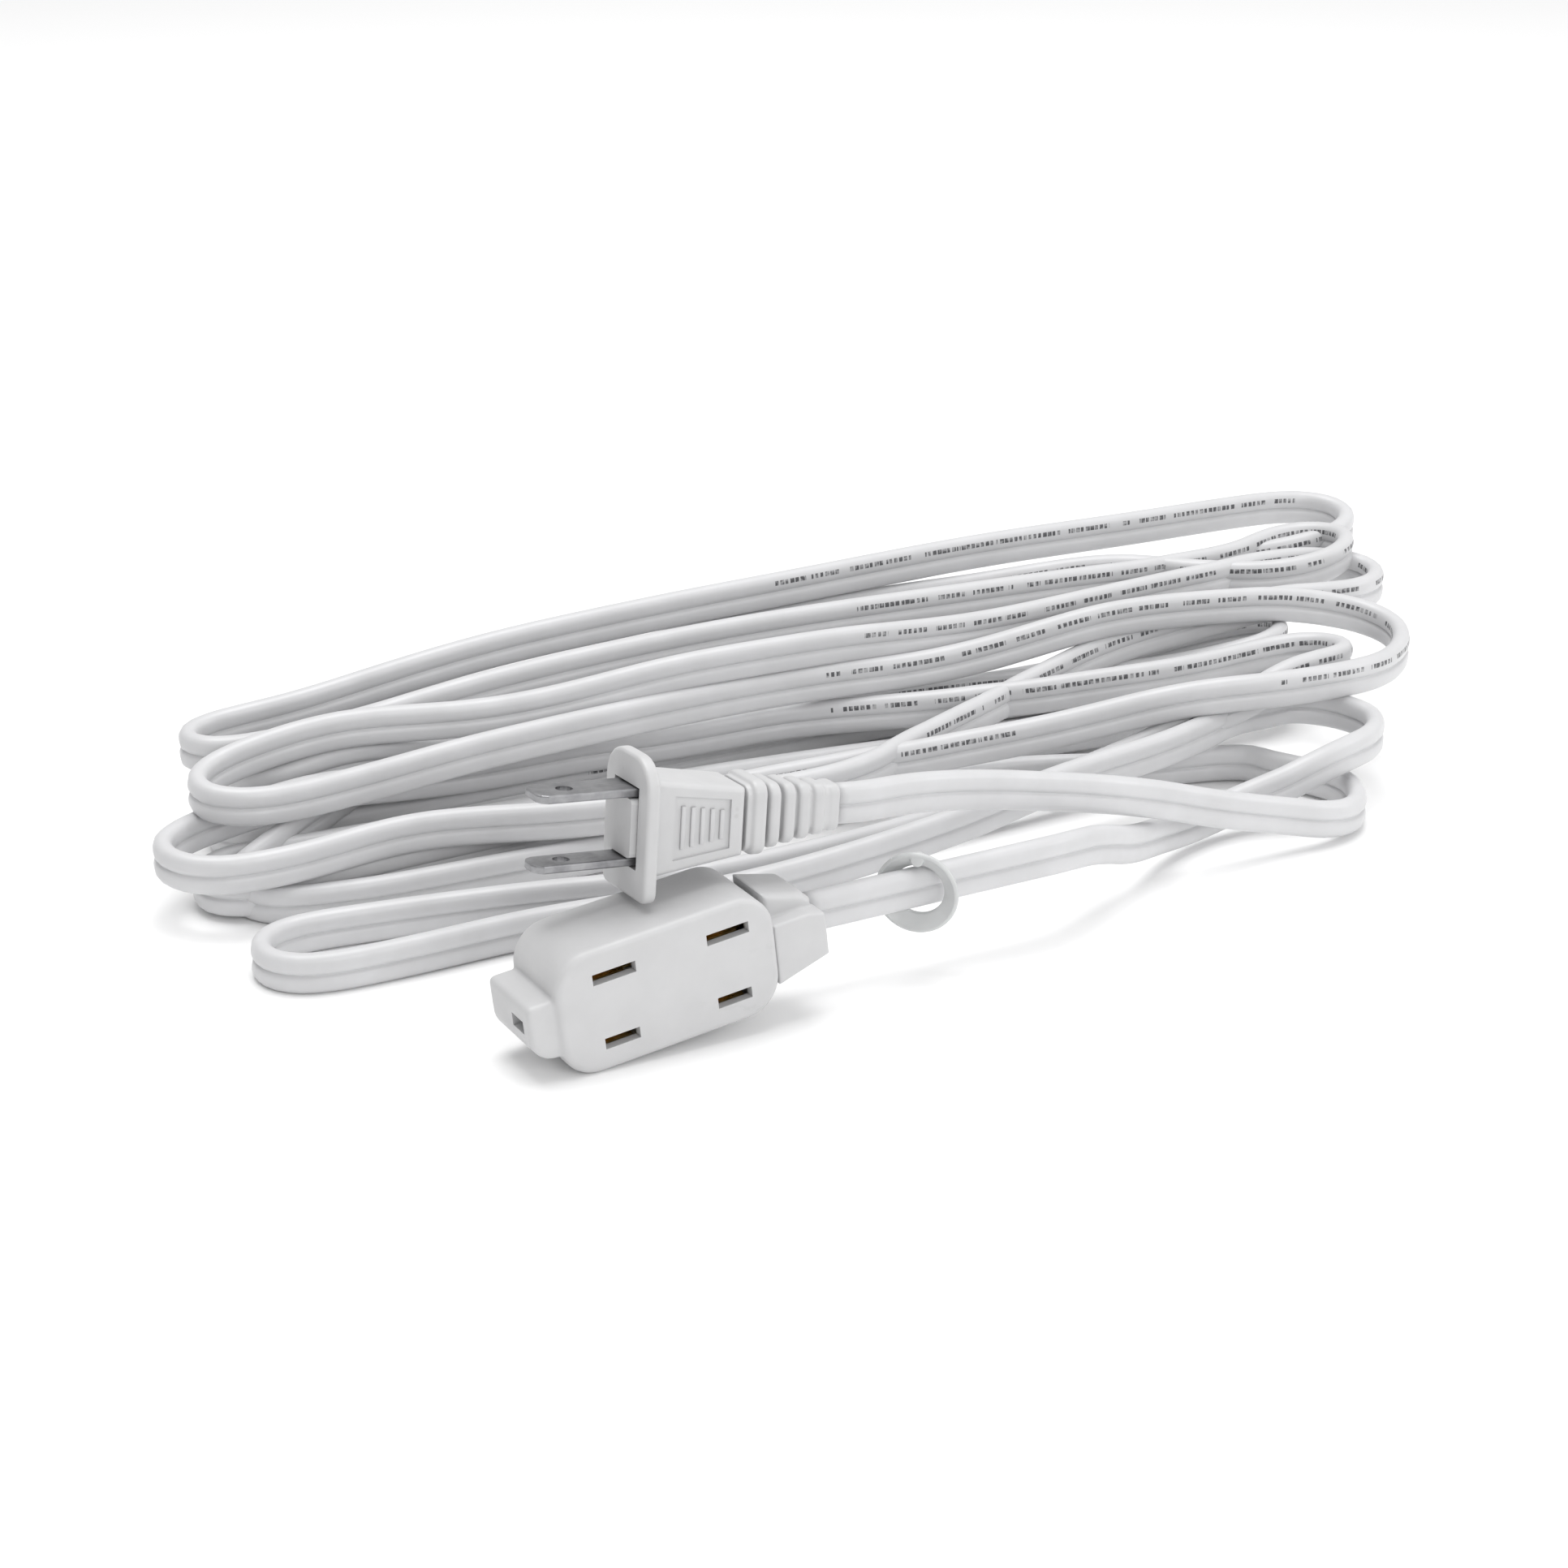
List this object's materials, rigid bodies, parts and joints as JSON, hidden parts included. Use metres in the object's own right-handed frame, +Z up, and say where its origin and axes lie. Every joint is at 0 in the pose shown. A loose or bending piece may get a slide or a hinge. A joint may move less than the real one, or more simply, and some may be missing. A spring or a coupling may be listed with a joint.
{
  "type": "extension cord",
  "caption": "Indoor two-wire extension cord with a polarised blade plug and a flat multi-outlet tap, its flat cord laid in a loose hank.",
  "frame": {"origin": "centre of the tap's footprint, on the surface that the cord lies on", "axes": "+X along the tap towards the end its cord leaves, -Y the way the two front outlets face, +Z up"},
  "size_m": [0.3028, 0.1529, 0.0515],
  "materials": {
    "white_vinyl": "satin",
    "cord_vinyl": "satin",
    "clear_plastic": "translucent",
    "core_resin": "matte",
    "plated_brass": "dull nickel plate",
    "spring_brass": "rolled",
    "copper": "stranded copper"
  },
  "bodies": {
    "cord_set": {"tap_shell": "white_vinyl", "tap_core": "core_resin", "tap_strain_relief": "white_vinyl", "bus_bar_neutral": "spring_brass", "bus_bar_hot": "spring_brass", "contact_clip_front_1_neutral": "spring_brass", "contact_clip_front_2_neutral": "spring_brass", "contact_clip_front_1_hot": "spring_brass", "contact_clip_front_2_hot": "spring_brass", "contact_clip_back_neutral": "spring_brass", "contact_clip_back_hot": "spring_brass", "tap_wire_neutral": "copper", "tap_wire_hot": "copper", "plug_shell": "white_vinyl", "plug_bridge": "core_resin", "plug_strain_relief": "white_vinyl", "plug_blade_neutral": "plated_brass", "plug_blade_hot": "plated_brass", "plug_wire_neutral": "copper", "plug_wire_hot": "copper", "cord_tap_lead": "cord_vinyl", "cord_plug_lead": "cord_vinyl", "cord_hank": "cord_vinyl"},
    "ring": {"slip_ring": "clear_plastic"}
  },
  "joints": [
    {"name": "ring_slide", "type": "slide", "parent": "cord_set", "child": "ring", "axis": [1, 0, 0], "range_m": [-0.0165, 0.012]}
  ]
}
